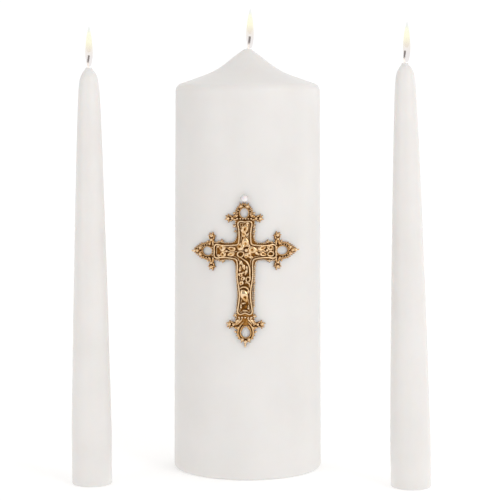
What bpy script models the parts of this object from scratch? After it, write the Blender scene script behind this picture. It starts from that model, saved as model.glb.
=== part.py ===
"""A unity candle set: a moulded pillar with a gold filigree cross, and two tapers.

Metres, +Z up. The origin is on the pillar's axis at table level, and the cross faces -Y.
The cross is drawn flat, in millimetres of arc (u) and height (v) from its own centre, and then
wrapped round the pillar.
"""

import bmesh
import bpy
from math import cos, pi, radians, sin
from mathutils import Matrix, Vector

MM = 0.001
GAP = 0.3                     # clearance between pieces that touch on the real object
SEGMENTS = 48                 # round the pillar

# Pillar
WAX_HEIGHT = 220.0
BASE_RADIUS = 39.0
SHOULDER_RADIUS = 37.7
SHOULDER_Z = 198.3
SHOULDER_ROUND = 4.4
BASE_ROUND = 1.7
WICK_RADIUS = 0.6
WICK_LENGTH = 6.9             # what stands out of the wax
LABEL_RADIUS = 32.0
LABEL_THICK = 0.3
TAB_RADIUS = 10.0
TAB_THICK = 0.4
COLLAR_RADIUS = 1.7
COLLAR_HEIGHT = 5.0

# Tapers
TAPER_RADIUS = 10.15
TAPER_WICK_RADIUS = 0.5
TAPER_WICK_LENGTH = 6.0
TAPERS = {
    "left": {"x": -79.0, "y": -44.0, "height": 210.2, "lean": 0.0},
    "right": {"x": 82.5, "y": -51.0, "height": 212.4, "lean": -0.022},
}

# Cross
CROSS_Z = 118.5               # height of its centre above the table
CROSS_SHIFT = -1.2            # it sits this far to the left of the pillar's middle
CROSS_LEAN = radians(0.65)    # and leans this far to the left
PLATE = (0.3, 1.0)            # each layer's inner and outer height above the wax
PANEL = (1.3, 2.1)
ORNAMENT = (2.4, 3.2)
RIM_WIRE = 0.42
PIN_RADIUS = 0.35
PIN_HOLE = 0.65
PIN_HEAD_RADIUS = 0.8
PIN_HEAD_THICK = 0.5
PIN_DEPTH = 8.0               # the pins' points reach this far into the wax
PEARL_RADIUS = 2.0
PEARL_V = 26.2
SIDE_PIN_U = 25.6
SIDE_PIN_V = -0.6
FLOWER_U = 0.5                # the flower's centre, from the cross's own
FLOWER_V = 0.1
LOWER_PIN_V = -28.6

FINISHES = {
    "wax": ((0.91, 0.90, 0.88, 1.0), 0.38, 0.0),
    "wick": ((0.30, 0.27, 0.23, 1.0), 0.95, 0.0),
    "tin": ((0.62, 0.62, 0.60, 1.0), 0.35, 1.0),
    "label": ((0.93, 0.92, 0.89, 1.0), 0.85, 0.0),
    "gold": ((0.80, 0.55, 0.27, 1.0), 0.32, 1.0),
    "pearl": ((0.95, 0.91, 0.88, 1.0), 0.18, 0.0),
    "steel": ((0.55, 0.52, 0.47, 1.0), 0.35, 1.0),
}


# ---------------------------------------------------------------- helpers

def clear_scene():
    for old in list(bpy.data.objects):
        bpy.data.objects.remove(old)


def new_collection(name):
    collection = bpy.data.collections.new(name)
    bpy.context.scene.collection.children.link(collection)
    return collection


def new_material(name, colour, roughness, metallic):
    material = bpy.data.materials.new(name)
    material.use_nodes = True
    shader = material.node_tree.nodes["Principled BSDF"]
    shader.inputs["Base Color"].default_value = colour
    shader.inputs["Roughness"].default_value = roughness
    shader.inputs["Metallic"].default_value = metallic
    material.diffuse_color = colour
    return material


def finish(obj, finish_name, name):
    """Give the object its own material of one of the finishes, and soft shading."""
    obj.data.materials.clear()
    obj.data.materials.append(new_material(name + "_" + finish_name, *FINISHES[finish_name]))
    if obj.type == "MESH":
        obj.data.shade_smooth()
        obj.data.set_sharp_from_angle(angle=radians(35))


def place(obj, collection):
    collection.objects.link(obj)
    return obj


def smooth_through(points, steps, closed):
    """Points of a Catmull-Rom curve through the given ones, steps of them for each span."""
    count = len(points)
    spans = count if closed else count - 1
    found = []
    for i in range(spans):
        if closed:
            p = [points[(i + k) % count] for k in (-1, 0, 1, 2)]
        else:
            p = [points[min(max(i + k, 0), count - 1)] for k in (-1, 0, 1, 2)]
        for step in range(steps):
            t = step / steps
            found.append(tuple(catmull(p[0][a], p[1][a], p[2][a], p[3][a], t) for a in (0, 1)))
    if not closed:
        found.append(tuple(points[-1]))
    return found


def catmull(a, b, c, d, t):
    return 0.5 * (2 * b + (c - a) * t + (2 * a - 5 * b + 4 * c - d) * t ** 2
                  + (3 * b - a - 3 * c + d) * t ** 3)


def arc(centre_x, centre_y, radius, start, end, count):
    """Points on an arc, from one angle in degrees to another."""
    angles = [radians(start + (end - start) * i / count) for i in range(count + 1)]
    return [(centre_x + radius * cos(a), centre_y + radius * sin(a)) for a in angles]


def turned(name, profile, finish_name, steps, collection, closed=True, matrix=None):
    """A solid of revolution about its local Z, from (radius, height) points in millimetres."""
    mesh = bpy.data.meshes.new(name)
    points = [(r * MM, 0.0, z * MM) for r, z in profile]
    edges = [(i, i + 1) for i in range(len(points) - 1)]
    if closed:
        edges.append((len(points) - 1, 0))
    mesh.from_pydata(points, edges, [])
    obj = place(bpy.data.objects.new(name, mesh), collection)
    if matrix is not None:
        obj.matrix_world = matrix
    screw = obj.modifiers.new("Turn", "SCREW")
    screw.steps = steps
    screw.render_steps = steps
    screw.use_merge_vertices = True
    screw.merge_threshold = 0.000001
    screw.use_smooth_shade = True
    finish(obj, finish_name, name)
    return obj


def as_mesh(obj):
    """Replace an object by a plain mesh of its evaluated shape, with the caps welded."""
    bpy.context.view_layer.update()
    evaluated = obj.evaluated_get(bpy.context.evaluated_depsgraph_get())
    mesh = bpy.data.meshes.new_from_object(evaluated)
    name = obj.name
    matrix = obj.matrix_world.copy()
    collection = obj.users_collection[0]
    bpy.data.objects.remove(obj)
    work = bmesh.new()
    work.from_mesh(mesh)
    bmesh.ops.remove_doubles(work, verts=work.verts, dist=0.0000005)
    work.to_mesh(mesh)
    work.free()
    made = place(bpy.data.objects.new(name, mesh), collection)
    made.matrix_world = matrix
    return made


def wire(name, points, radius, finish_name, collection, closed=False, sides=1):
    """A round wire along points in metres."""
    curve = bpy.data.curves.new(name, "CURVE")
    curve.dimensions = "3D"
    curve.bevel_depth = radius * MM
    curve.bevel_resolution = sides
    curve.use_fill_caps = not closed
    spline = curve.splines.new("POLY")
    spline.points.add(len(points) - 1)
    for point, at in zip(spline.points, points):
        point.co = (*at, 1.0)
    spline.use_cyclic_u = closed
    obj = place(bpy.data.objects.new(name, curve), collection)
    finish(obj, finish_name, name)
    return obj


# ---------------------------------------------------------------- the pillar's surface

def body_radius(z):
    """The moulded body narrows a little towards its shoulder."""
    return BASE_RADIUS + (SHOULDER_RADIUS - BASE_RADIUS) * z / SHOULDER_Z


WRAP_RADIUS = body_radius(CROSS_Z)    # arc lengths are measured at this radius


def lean(u, v):
    """Cross coordinates turned by the cross's own lean and moved to its place."""
    return (u * cos(CROSS_LEAN) - v * sin(CROSS_LEAN) + CROSS_SHIFT,
            u * sin(CROSS_LEAN) + v * cos(CROSS_LEAN))


def on_pillar(u, v, lift):
    """Arc length, height and lift off the wax in millimetres, to a point in metres."""
    across, up = lean(u, v)
    angle = across / WRAP_RADIUS
    radius = body_radius(CROSS_Z + up) + lift
    return Vector((radius * sin(angle), -radius * cos(angle), CROSS_Z + up)) * MM


def surface_matrix(u, v, lift, turn=0.0):
    """A frame on the pillar: X across, Y up along the cross, Z outwards, then turned about Z."""
    across, _ = lean(u, v)
    angle = across / WRAP_RADIUS
    tangent = Vector((cos(angle), sin(angle), 0.0))
    outward = Vector((sin(angle), -cos(angle), 0.0))
    frame = Matrix((tangent, Vector((0, 0, 1)), outward)).transposed().to_4x4()
    frame.translation = on_pillar(u, v, lift)
    return frame @ Matrix.Rotation(turn + CROSS_LEAN, 4, "Z")


def wrapped_plate(name, outlines, layer, finish_name, collection, strip=3.0):
    """A flat plate with holes, cut into upright strips and bent round the pillar."""
    inner, outer = layer
    curve = bpy.data.curves.new(name, "CURVE")
    curve.dimensions = "2D"
    curve.fill_mode = "BOTH"
    curve.extrude = (outer - inner) / 2
    for outline in outlines:
        spline = curve.splines.new("POLY")
        spline.points.add(len(outline) - 1)
        for point, (u, v) in zip(spline.points, outline):
            point.co = (u, v, 0.0, 1.0)
        spline.use_cyclic_u = True
    obj = as_mesh(place(bpy.data.objects.new(name, curve), collection))
    work = bmesh.new()
    work.from_mesh(obj.data)
    bmesh.ops.remove_doubles(work, verts=work.verts, dist=0.0005)
    widths = [vertex.co.x for vertex in work.verts]
    cuts = int((max(widths) - min(widths)) / strip)
    for i in range(1, cuts + 1):
        at = min(widths) + (max(widths) - min(widths)) * i / (cuts + 1)
        everything = work.verts[:] + work.edges[:] + work.faces[:]
        bmesh.ops.bisect_plane(work, geom=everything, plane_co=(at, 0, 0), plane_no=(1, 0, 0),
                               dist=0.00001)
    middle = (inner + outer) / 2
    for vertex in work.verts:
        vertex.co = on_pillar(vertex.co.x, vertex.co.y, middle + vertex.co.z)
    work.to_mesh(obj.data)
    work.free()
    finish(obj, finish_name, name)
    return obj


# ---------------------------------------------------------------- pillar candle

def pillar_profile():
    bore = WICK_RADIUS + GAP
    shoulder_x = SHOULDER_RADIUS - SHOULDER_ROUND
    shoulder = arc(shoulder_x, SHOULDER_Z, SHOULDER_ROUND, 72, 0, 5)
    dome = smooth_through(
        [(bore, WAX_HEIGHT), (3.4, 218.9), (8.0, 215.7), (12.4, 212.2), (18.0, 208.7),
         (25.0, 205.8), shoulder[0]], 2, False)
    base_x = BASE_RADIUS - BASE_ROUND
    base = arc(base_x, BASE_ROUND, BASE_ROUND, 0, -90, 4)
    label_top = LABEL_THICK + GAP
    tab_top = label_top + TAB_THICK + GAP
    recess = [
        (LABEL_RADIUS + GAP, 0.0), (LABEL_RADIUS + GAP, label_top),
        (TAB_RADIUS + GAP, label_top), (TAB_RADIUS + GAP, tab_top),
        (COLLAR_RADIUS + GAP, tab_top), (COLLAR_RADIUS + GAP, tab_top + COLLAR_HEIGHT),
        (bore, tab_top + COLLAR_HEIGHT),
    ]
    middle = [(body_radius(z), z) for z in (130.0, 65.0)]
    return dome[:-1] + shoulder + middle + base + recess


def pin_places():
    """Name, arc and height of each pin that goes into the wax."""
    return [
        ("pearl", 0.0, PEARL_V),
        ("left", -SIDE_PIN_U, SIDE_PIN_V),
        ("right", SIDE_PIN_U, SIDE_PIN_V),
        ("lower", 0.0, LOWER_PIN_V),
    ]


def drill(target, u, v, cutters):
    """A blind hole for a pin, from outside the pillar towards its axis."""
    top = 3.0
    floor = -PIN_DEPTH - GAP
    profile = [(0.0, top), (PIN_HOLE, top), (PIN_HOLE, floor), (0.0, floor)]
    cutter = turned(target.name + "_hole_%d_%d" % (u, v), profile, "wax", 12, cutters,
                    closed=False, matrix=surface_matrix(u, v, 0.0))
    cutter.hide_render = True
    cutter.display_type = "WIRE"
    boolean = target.modifiers.new("Pin hole", "BOOLEAN")
    boolean.operation = "DIFFERENCE"
    boolean.solver = "EXACT"
    boolean.object = cutter


def build_pillar(parts, cutters):
    wax = turned("pillar_wax", pillar_profile(), "wax", SEGMENTS, parts)
    for _, u, v in pin_places():
        drill(wax, u, v, cutters)

    start = LABEL_THICK + GAP + 0.1
    tip = WAX_HEIGHT + WICK_LENGTH
    route = [(0.0, start), (0.0, 110.0), (0.0, WAX_HEIGHT - 0.4), (0.15, WAX_HEIGHT + 1.0),
             (0.5, WAX_HEIGHT + 3.0), (0.9, WAX_HEIGHT + 5.2), (1.1, tip)]
    wire("pillar_wick", [(x * MM, 0.0, z * MM) for x, z in route], WICK_RADIUS, "wick", parts,
         sides=2)

    low = LABEL_THICK + GAP
    hole = WICK_RADIUS + GAP
    turned("pillar_wick_sustainer",
           [(hole, low + TAB_THICK + COLLAR_HEIGHT), (COLLAR_RADIUS, low + TAB_THICK + COLLAR_HEIGHT),
            (COLLAR_RADIUS, low + TAB_THICK), (TAB_RADIUS, low + TAB_THICK), (TAB_RADIUS, low),
            (hole, low)], "tin", 32, parts)
    turned("pillar_base_label",
           [(0.0, LABEL_THICK), (LABEL_RADIUS, LABEL_THICK), (LABEL_RADIUS, 0.0), (0.0, 0.0)],
           "label", 48, parts, closed=False)


# ---------------------------------------------------------------- cross

def mirrored(right_side):
    """A closed outline from its right-hand half, given from top to bottom."""
    left_side = [(-u, v) for u, v in reversed(right_side) if u > 0.001]
    return right_side + left_side


def circle(u, v, radius, count=12):
    return [(u + radius * cos(2 * pi * i / count), v + radius * sin(2 * pi * i / count))
            for i in range(count)]


PLATE_HALF = [
    (0.0, 15.4), (4.4, 15.4), (4.9, 12.6), (4.2, 10.2), (4.6, 6.6), (6.4, 4.3), (10.0, 3.8),
    (12.6, 4.7), (14.6, 3.7), (16.3, 3.4), (16.4, -4.6), (14.6, -4.9), (12.6, -5.9),
    (10.0, -5.0), (6.4, -5.5), (4.8, -8.4), (4.7, -13.0), (3.8, -18.5), (3.7, -24.0),
    (4.6, -29.5), (4.5, -34.0), (4.3, -37.4), (0.0, -37.4),
]

RIM_HALF = [
    (0.0, 14.7), (3.3, 14.9), (3.5, 13.2), (2.7, 9.5), (3.0, 5.4), (4.3, 3.1), (8.0, 2.3),
    (12.0, 2.6), (14.2, 3.0), (15.7, 2.2), (16.1, 0.6), (15.9, -0.6), (16.1, -1.8),
    (15.7, -3.4), (14.2, -4.2), (12.0, -3.8), (8.0, -3.6),
    (4.3, -4.6), (3.5, -7.6), (3.8, -13.0), (2.9, -18.0), (2.9, -23.5), (3.7, -29.0),
    (3.6, -32.6), (1.8, -32.9), (0.0, -32.2),
]


def inset(outline, distance):
    """Each point moved inwards, square to the line between its neighbours."""
    found = []
    count = len(outline)
    for i, (u, v) in enumerate(outline):
        before = Vector(outline[i - 1])
        after = Vector(outline[(i + 1) % count])
        along = (after - before).normalized()
        found.append((u + along.y * distance, v - along.x * distance))
    return found


# Half a finial that grows along +v from the arm's end: a ring, its crest and one side lobe.
FINIAL_SIDE = [
    (3.1, 22.2), (4.0, 20.8), (4.2, 19.2), (4.7, 18.2), (6.1, 18.3), (7.6, 18.5), (9.1, 17.5),
    (9.6, 16.0), (8.7, 14.5), (6.9, 14.1), (5.5, 14.9), (4.7, 15.7), (0.0, 15.7),
]
CRESTS = {
    "top": [(0.0, 23.3), (1.6, 22.9)],
    "side": [(0.0, 26.1), (0.8, 25.9), (1.7, 24.7), (2.5, 23.3)],
    "bottom": [(0.0, 24.2), (1.0, 23.8), (1.4, 22.9)],
}


def turned_points(points, turn, du=0.0, dv=0.0):
    """Points turned about the cross's centre, then moved."""
    return [(u * cos(turn) - v * sin(turn) + du, u * sin(turn) + v * cos(turn) + dv)
            for u, v in points]


def oval(u, v, half_width, half_height, point=0.0, count=16):
    """An oval hole, drawn out to a point on its near side where it is a drop."""
    found = []
    for i in range(count):
        a = 2 * pi * i / count
        rise = half_height + point * max(0.0, -sin(a)) ** 4
        found.append((u + half_width * cos(a), v + rise * sin(a)))
    return found


def build_finials(parts):
    """A ring with two lobes beyond the end of each arm; the side ones are pinned to the wax."""
    finials = {
        "top": ("top", 0.0, 0.0, 0.0, oval(0.0, 18.8, 2.1, 2.3)),
        "left": ("side", pi / 2, -1.1, -0.6, oval(0.0, 18.6, 2.0, 2.3)),
        "right": ("side", -pi / 2, 1.1, -0.6, oval(0.0, 18.6, 2.0, 2.3)),
        "bottom": ("bottom", pi, 0.0, -22.0, oval(0.0, 19.5, 2.3, 2.3, 0.9)),
    }
    for side, (crest, turn, du, dv, hole) in finials.items():
        half = CRESTS[crest] + FINIAL_SIDE
        outline = smooth_through(mirrored(half), 2, True)
        outlines = [turned_points(outline, turn, du, dv), turned_points(hole, turn, du, dv)]
        if crest == "side":
            outlines.append(turned_points(circle(0.0, SIDE_PIN_U, PIN_HOLE, 10), turn, 0.0, SIDE_PIN_V))
        wrapped_plate("finial_" + side, outlines, PLATE, "gold", parts)


def leaf_chain(length, leaves, half_width, stem):
    """Half-outline of a stem with pairs of leaves, along +u from 0 to length."""
    count = leaves * 6
    side = []
    for i in range(count + 1):
        t = i / count
        taper = 1.0 - 0.35 * t
        width = stem + (half_width - stem) * abs(sin(pi * leaves * t)) * taper
        side.append((length * t, width))
    return side + [(u, -w) for u, w in reversed(side)]


def build_vines(parts):
    sprays = {
        "top": (pi / 2, 3.1, 10.1, 2, 1.7, 0.0),
        "left": (pi, 3.2, 11.4, 3, 1.9, -0.6),
        "right": (0.0, 3.6, 11.0, 3, 1.9, -0.6),
        "bottom": (-pi / 2, 3.9, 22.0, 4, 1.9, 0.0),
    }
    for side, (turn, start, length, leaves, half_width, dv) in sprays.items():
        outline = [(u + start, w) for u, w in leaf_chain(length, leaves, half_width, 0.55)]
        placed = turned_points(outline, turn, 0.0, dv)
        wrapped_plate("cross_vine_" + side, [placed], ORNAMENT, "gold", parts)


def build_flower(parts):
    petals = 5
    count = petals * 8
    outline = []
    for i in range(count):
        a = 2 * pi * i / count
        reach = 1.5 + 1.15 * abs(cos(petals * a / 2 + 0.3))
        outline.append((FLOWER_U + reach * cos(a), FLOWER_V + reach * sin(a)))
    wrapped_plate("cross_flower", [outline], ORNAMENT, "gold", parts)
    radius = 0.95
    profile = arc(0.0, 0.0, radius, 90, -50, 7)
    profile.append((0.0, profile[-1][1]))
    height = ORNAMENT[1] + GAP - profile[-1][1]
    profile[0] = (0.0, radius)
    turned("cross_flower_bead", profile, "gold", 16, parts, closed=False,
           matrix=surface_matrix(FLOWER_U, FLOWER_V, height))


def build_panel(parts):
    rim = smooth_through(mirrored(RIM_HALF), 2, True)
    field = inset(rim, RIM_WIRE + 0.28)
    hole = circle(0.0, LOWER_PIN_V, PIN_HOLE, 10)
    wrapped_plate("cross_panel", [field, hole], PANEL, "gold", parts)
    lift = PANEL[1] - 0.1
    wire("cross_panel_rim", [on_pillar(u, v, lift) for u, v in rim], RIM_WIRE, "gold", parts,
         closed=True)


def build_tips(parts):
    """A bead drawn out to a point, beyond each ring but the top one."""
    bead = 0.7
    profile = [(0.0, 2.0)] + arc(0.0, 0.0, bead, 50, -90, 6)
    profile[-1] = (0.0, -bead)
    ends = {
        "left": (-28.2, -0.6, pi / 2),
        "right": (28.2, -0.6, -pi / 2),
        "bottom": (0.0, -47.2, pi),
    }
    for side, (u, v, turn) in ends.items():
        across = surface_matrix(u, v, GAP + bead, turn)
        turned("finial_tip_" + side, profile, "gold", 12, parts, closed=False,
               matrix=across @ Matrix.Rotation(-pi / 2, 4, "X"))


def build_pins(parts):
    """The pearl-headed pin and the three brads, each along a radius of the pillar."""
    heads = {"left": PLATE[1], "right": PLATE[1], "lower": PANEL[1]}
    for name, u, v in pin_places():
        if name == "pearl":
            continue
        seat = heads[name] + GAP
        profile = [(0.0, seat + PIN_HEAD_THICK), (PIN_HEAD_RADIUS * 0.7, seat + PIN_HEAD_THICK),
                   (PIN_HEAD_RADIUS, seat + PIN_HEAD_THICK * 0.5), (PIN_HEAD_RADIUS, seat),
                   (PIN_RADIUS, seat), (PIN_RADIUS, 1.5 - PIN_DEPTH), (0.0, -PIN_DEPTH)]
        turned("cross_pin_" + name, profile, "gold", 12, parts, closed=False,
               matrix=surface_matrix(u, v, 0.0))

    centre = GAP + PEARL_RADIUS
    bore = PIN_RADIUS + GAP
    mouth = -(PEARL_RADIUS ** 2 - bore ** 2) ** 0.5
    ball = arc(0.0, 0.0, PEARL_RADIUS, 90, -70, 12)
    ball[0] = (0.0, PEARL_RADIUS)
    profile = [(r, centre + z) for r, z in ball + [(bore, mouth), (bore, 0.6), (0.0, 0.6)]]
    turned("pearl_head", profile, "pearl", 24, parts, closed=False,
           matrix=surface_matrix(0.0, PEARL_V, 0.0))
    shank = [(0.0, centre + 0.3), (PIN_RADIUS, centre + 0.3), (PIN_RADIUS, 1.5 - PIN_DEPTH),
             (0.0, -PIN_DEPTH)]
    turned("pearl_pin_shank", shank, "steel", 12, parts, closed=False,
           matrix=surface_matrix(0.0, PEARL_V, 0.0))


def build_cross(parts):
    holes = [circle(0.0, LOWER_PIN_V, PIN_HOLE, 10)]
    plate = smooth_through(mirrored(PLATE_HALF), 2, True)
    wrapped_plate("cross_back_plate", [plate] + holes, PLATE, "gold", parts)
    build_panel(parts)
    build_vines(parts)
    build_flower(parts)
    build_finials(parts)
    build_tips(parts)
    build_pins(parts)


# ---------------------------------------------------------------- tapers

def taper_profile(height):
    """Slender body, quick rounded shoulder and a short neck round the wick."""
    bore = TAPER_WICK_RADIUS + GAP
    body = [(TAPER_RADIUS, 26.0), (9.3, 67.0), (8.0, 118.0), (6.5, 168.0), (5.5, 194.0),
            (4.95, height - 9.0), (4.3, height - 5.0), (3.0, height - 2.4), (1.9, height - 1.0)]
    outside = smooth_through([(1.6, height)] + list(reversed(body)), 2, False)
    foot = arc(TAPER_RADIUS - 0.6, 0.6, 0.6, 0, -90, 3)
    return [(bore, height)] + outside + foot + [(bore, 0.0)]


def build_taper(side, spec, parts):
    """One taper on its own axis: its wax and its wick, both leaning alike from the base."""
    shear = Matrix.Identity(4)
    shear[0][2] = spec["lean"]
    place_at = Matrix.Translation(Vector((spec["x"], spec["y"], 0.0)) * MM)
    wax = as_mesh(turned("taper_%s_wax" % side, taper_profile(spec["height"]), "wax", 22, parts))
    wax.data.transform(shear)
    wax.matrix_world = place_at
    finish(wax, "wax", wax.name)
    top = spec["height"]
    route = [(0.0, 0.4), (0.0, 105.0), (0.0, top - 0.3), (-0.1, top + 1.5), (-0.1, top + 3.8),
             (0.2, top + TAPER_WICK_LENGTH)]
    points = [(x * MM, 0.0, z * MM) for x, z in route]
    wick = wire("taper_%s_wick" % side, points, TAPER_WICK_RADIUS, "wick", parts, sides=1)
    wick = as_mesh(wick)
    wick.data.transform(shear)
    wick.matrix_world = place_at
    finish(wick, "wick", wick.name)


def main():
    clear_scene()
    parts = new_collection("unity_candle")
    cutters = new_collection("cutters")
    build_pillar(parts, cutters)
    build_cross(parts)
    for side, spec in TAPERS.items():
        build_taper(side, spec, parts)


main()
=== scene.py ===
"""Looks of the unity candle set: wax, wicks, flames and the antique-gold filigree cross."""

from math import atan2, cos, pi, radians, sin

import bmesh
import bpy
import numpy as np
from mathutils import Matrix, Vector
from mathutils.geometry import tessellate_polygon


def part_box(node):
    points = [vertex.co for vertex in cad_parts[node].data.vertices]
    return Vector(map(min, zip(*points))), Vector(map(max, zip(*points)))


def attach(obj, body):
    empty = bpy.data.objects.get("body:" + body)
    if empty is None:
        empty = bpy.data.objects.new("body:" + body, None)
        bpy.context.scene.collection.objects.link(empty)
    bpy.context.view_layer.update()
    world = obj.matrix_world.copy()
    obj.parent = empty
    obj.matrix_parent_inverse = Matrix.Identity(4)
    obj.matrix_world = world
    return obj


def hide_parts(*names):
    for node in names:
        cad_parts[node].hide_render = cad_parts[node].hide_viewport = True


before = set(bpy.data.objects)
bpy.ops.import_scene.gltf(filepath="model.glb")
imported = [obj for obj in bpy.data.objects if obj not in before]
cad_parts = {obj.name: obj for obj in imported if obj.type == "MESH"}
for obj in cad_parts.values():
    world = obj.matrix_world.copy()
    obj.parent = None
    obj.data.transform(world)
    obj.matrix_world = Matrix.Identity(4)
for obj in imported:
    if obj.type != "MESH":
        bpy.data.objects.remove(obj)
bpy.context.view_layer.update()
MM = 0.001

# ---- sizes taken from the frame

WAX_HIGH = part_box("pillar_wax")[1]
BASE_RADIUS = WAX_HIGH.x / MM
WAX_HEIGHT = WAX_HIGH.z / MM
WICK_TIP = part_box("pillar_wick")[1].z / MM
BODY_DRAFT = 1.3 / 198.3  # the body narrows by this share of its height
SHOULDER_Z = WAX_HEIGHT - 21.7
SHOULDER_ROUND = 4.4
FOOT_ROUND = 1.7
TAPER_RADIUS = 10.15  # at its foot

BEAD_LOW, BEAD_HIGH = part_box("cross_flower_bead")
CROSS_Z = (BEAD_LOW.z + BEAD_HIGH.z) / 2 / MM - 0.1
CROSS_SHIFT = -1.26  # arc from the pillar's middle to the cross's own middle
WRAP_RADIUS = BASE_RADIUS - BODY_DRAFT * CROSS_Z

# Heights above the wax, in millimetres, of the cross's layers
PLATE_LOW, PLATE_TOP = 0.25, 1.0
RING_TOP = 0.75
FIELD_LOW, FIELD_TOP = 1.0, 1.5
RIM_W = 2.0  # the middle of the rim's wire
LOOP_W, LOOP_RADIUS = 2.2, 0.42  # the closed wire loops on the field
PIN_HOLE = (0.0, -28.7, 0.65)  # where the lower pin goes through plate and field

# The studio: how bright the world is in the middle, and what each direction adds
WORLD_MIDDLE, WORLD_RIGHT, WORLD_BEHIND, WORLD_ABOVE = 0.53, 0.065, 0.17, 0.40
WORLD_TINT = (1.0, 0.985, 0.97)
LIGHT_AIM = (0.0, 0.0, 0.12)
LIGHTS = [  # name, place, aim, size and power in watts
    ("key", (1.1, -1.3, 0.9), LIGHT_AIM, (0.7, 1.0), 6.8),
    ("fill", (-1.3, -1.2, 0.6), LIGHT_AIM, (0.7, 1.0), 3.2),
    ("side", (1.4, 0.25, 0.5), LIGHT_AIM, (0.35, 1.1), 0.55),
    ("edge", (0.95, 1.0, 0.33), (0.0, 0.0, 0.19), (0.10, 0.28), 0.45),
]
CAMERA_PLACE = (0.00125, -0.942, 0.202)
CAMERA_TILT = 5.28  # degrees below the horizon
CAMERA_LENS = 129.24

PI2 = 2 * pi


# ---- material helpers

def new_material(name):
    material = bpy.data.materials.new(name)
    material.use_nodes = True
    tree = material.node_tree
    return material, tree, tree.nodes["Principled BSDF"]


def node(tree, kind, **settings):
    made = tree.nodes.new(kind)
    for key, value in settings.items():
        setattr(made, key, value)
    return made


def set_inputs(made, **values):
    """Constants on a node's sockets, each socket named with _ for its spaces."""
    for key, value in values.items():
        made.inputs[key.replace("_", " ")].default_value = value


def noise(tree, scale, detail=3.0, roughness=0.5, stretch=None):
    """A noise texture in the object's own space, its scale per metre."""
    place = node(tree, "ShaderNodeTexCoord").outputs["Object"]
    texture = node(tree, "ShaderNodeTexNoise")
    set_inputs(texture, Scale=scale, Detail=detail, Roughness=roughness)
    if stretch:
        mapping = node(tree, "ShaderNodeMapping")
        set_inputs(mapping, Scale=stretch)
        tree.links.new(place, mapping.inputs["Vector"])
        place = mapping.outputs["Vector"]
    tree.links.new(place, texture.inputs["Vector"])
    return texture.outputs["Fac"]


def position(tree, space="Object"):
    """The X, Y and Z of the shaded point."""
    coords = node(tree, "ShaderNodeTexCoord")
    split = node(tree, "ShaderNodeSeparateXYZ")
    tree.links.new(coords.outputs[space], split.inputs["Vector"])
    return split.outputs["X"], split.outputs["Y"], split.outputs["Z"]


def ramp(tree, value, stops):
    made = node(tree, "ShaderNodeValToRGB")
    elements = made.color_ramp.elements
    while len(elements) < len(stops):
        elements.new(0.5)
    for element, (at, colour) in zip(elements, stops):
        element.position = at
        element.color = (*colour, 1.0)
    tree.links.new(value, made.inputs["Fac"])
    return made.outputs["Color"]


def remap(tree, value, low, high, to_low, to_high):
    made = node(tree, "ShaderNodeMapRange")
    set_inputs(made, From_Min=low, From_Max=high, To_Min=to_low, To_Max=to_high)
    tree.links.new(value, made.inputs["Value"])
    return made.outputs["Result"]


def math_node(tree, operation, a, b=0.0):
    made = node(tree, "ShaderNodeMath", operation=operation)
    for socket, value in zip(made.inputs, (a, b)):
        if isinstance(value, (int, float)):
            socket.default_value = value
        else:
            tree.links.new(value, socket)
    return made.outputs["Value"]


def jitter(tree, value, texture, amount):
    """A value moved up and down by a noise texture."""
    swing = math_node(tree, "MULTIPLY", math_node(tree, "SUBTRACT", texture, 0.5), amount)
    return math_node(tree, "ADD", value, swing)


def mix_colour(tree, factor, a, b):
    made = node(tree, "ShaderNodeMix", data_type="RGBA")
    for socket, value in ((made.inputs[0], factor), (made.inputs[6], a), (made.inputs[7], b)):
        if isinstance(value, (int, float)):
            socket.default_value = value
        elif isinstance(value, tuple):
            socket.default_value = (*value, 1.0)
        else:
            tree.links.new(value, socket)
    return made.outputs[2]


def paint(tree, shader, colour, roughness, height, strength, distance):
    """What every surface here has: a colour, a roughness and a bump."""
    made = node(tree, "ShaderNodeBump")
    set_inputs(made, Strength=strength, Distance=distance)
    tree.links.new(height, made.inputs["Height"])
    for value, socket in ((colour, "Base Color"), (roughness, "Roughness"),
                          (made.outputs["Normal"], "Normal")):
        tree.links.new(value, shader.inputs[socket])


# ---- materials

def wax_material():
    """Moulded white wax: light scatters in it, with faint clouding and a satin skin."""
    material, tree, shader = new_material("white_wax")
    cloud = noise(tree, 38.0, 4.0, 0.55)
    fine = noise(tree, 420.0, 3.0, 0.6)
    streak = noise(tree, 60.0, 3.0, 0.5, stretch=(1.0, 1.0, 0.12))
    colour = ramp(tree, cloud, [(0.32, (0.795, 0.777, 0.760)), (0.68, (0.828, 0.812, 0.797))])
    colour = mix_colour(tree, remap(tree, streak, 0.4, 0.7, 0.0, 0.35), colour,
                        (0.842, 0.827, 0.812))
    rough = remap(tree, math_node(tree, "ADD", fine, cloud), 0.7, 1.3, 0.30, 0.42)
    set_inputs(shader, IOR=1.44, Coat_Weight=0.12, Coat_Roughness=0.18, Subsurface_Weight=0.35,
               Subsurface_Radius=(1.0, 0.75, 0.6), Subsurface_Scale=0.006)
    height = math_node(tree, "ADD", math_node(tree, "MULTIPLY", fine, 0.25), streak)
    paint(tree, shader, colour, rough, height, 0.10, 0.0006)
    return material


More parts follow.
